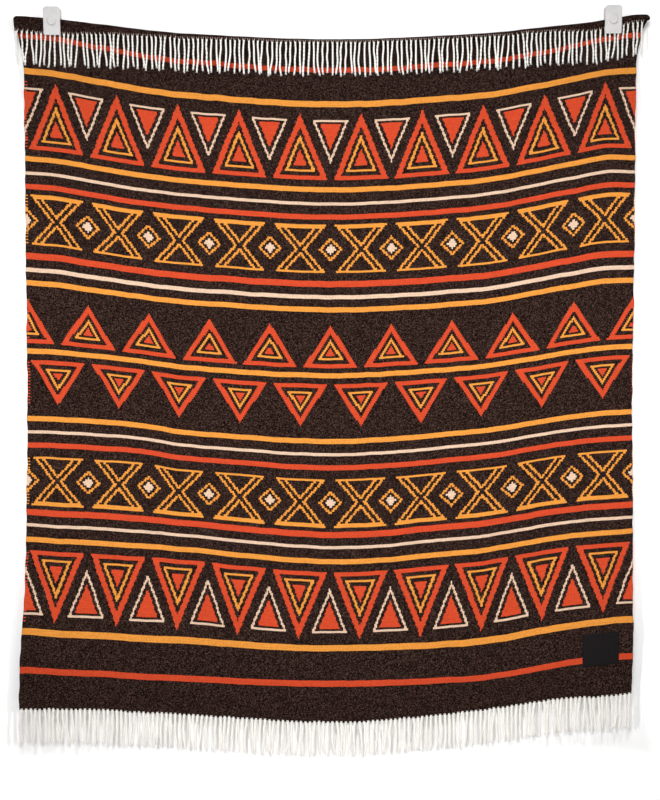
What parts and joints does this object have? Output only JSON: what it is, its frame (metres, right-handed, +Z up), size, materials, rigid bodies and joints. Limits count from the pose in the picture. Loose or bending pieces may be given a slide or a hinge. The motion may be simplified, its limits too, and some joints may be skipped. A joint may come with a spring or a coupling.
{
  "type": "fringed blanket hung from two clips",
  "caption": "Woven throw blanket hung flat on a wall from two plastic clips, its top end turned over to the front and a fringe along each end.",
  "frame": {"origin": "on the wall, midway between the two clips, at about the height of the middle of their plates", "axes": "+X to the right as seen from the front, +Y into the wall, +Z up; the blanket's front faces -Y"},
  "size_m": [1.3244, 0.0308, 1.5655],
  "materials": {
    "cloth": "dark brown woven ground with orange, yellow and cream bands",
    "fringe": "twisted off-white yarn",
    "patch": "plain black twill",
    "clip": "moulded light grey plastic"
  },
  "bodies": {
    "root": {"blanket": "cloth", "fringe_top": "fringe", "fringe_bottom": "fringe", "sewn_patch": "patch", "clip_left_base": "clip", "clip_left_hinge": "clip", "clip_left_jaw": "clip", "clip_left_button": "clip", "clip_right_base": "clip", "clip_right_hinge": "clip", "clip_right_jaw": "clip", "clip_right_button": "clip"}
  },
  "joints": []
}
